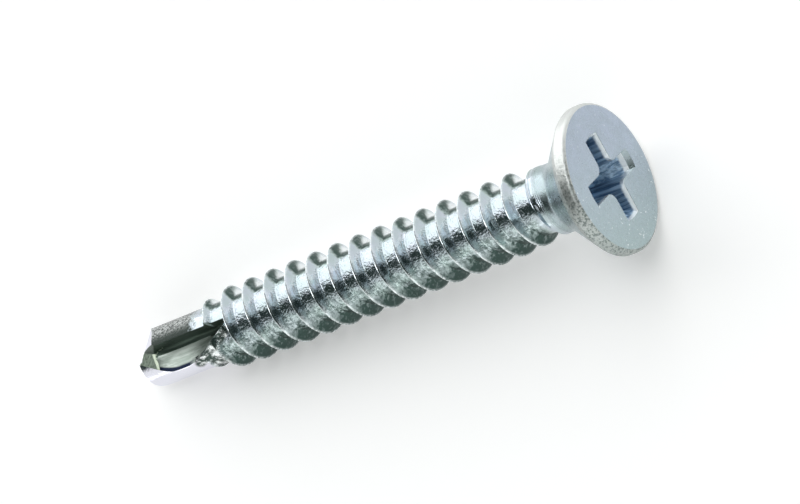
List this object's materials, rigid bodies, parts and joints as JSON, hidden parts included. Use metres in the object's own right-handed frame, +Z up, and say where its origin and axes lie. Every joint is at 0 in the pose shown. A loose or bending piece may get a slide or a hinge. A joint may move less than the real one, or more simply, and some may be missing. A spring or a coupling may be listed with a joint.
{
  "type": "self drilling screw",
  "caption": "Countersunk self drilling screw: drill point with flutes, sharp tapping thread, plain neck and a flat head with a cross recess.",
  "frame": {"origin": "middle of the lower face of the screw's box, on the surface that it lies on", "axes": "+X along the length towards the head, +Z up; the screw's own axis lies in the XZ plane and rises 4.66 degrees towards the head"},
  "size_m": [0.031, 0.008, 0.008],
  "materials": {
    "zinc_plated_steel": "bright zinc plating"
  },
  "bodies": {
    "root": {"screw": "zinc_plated_steel"}
  },
  "joints": []
}
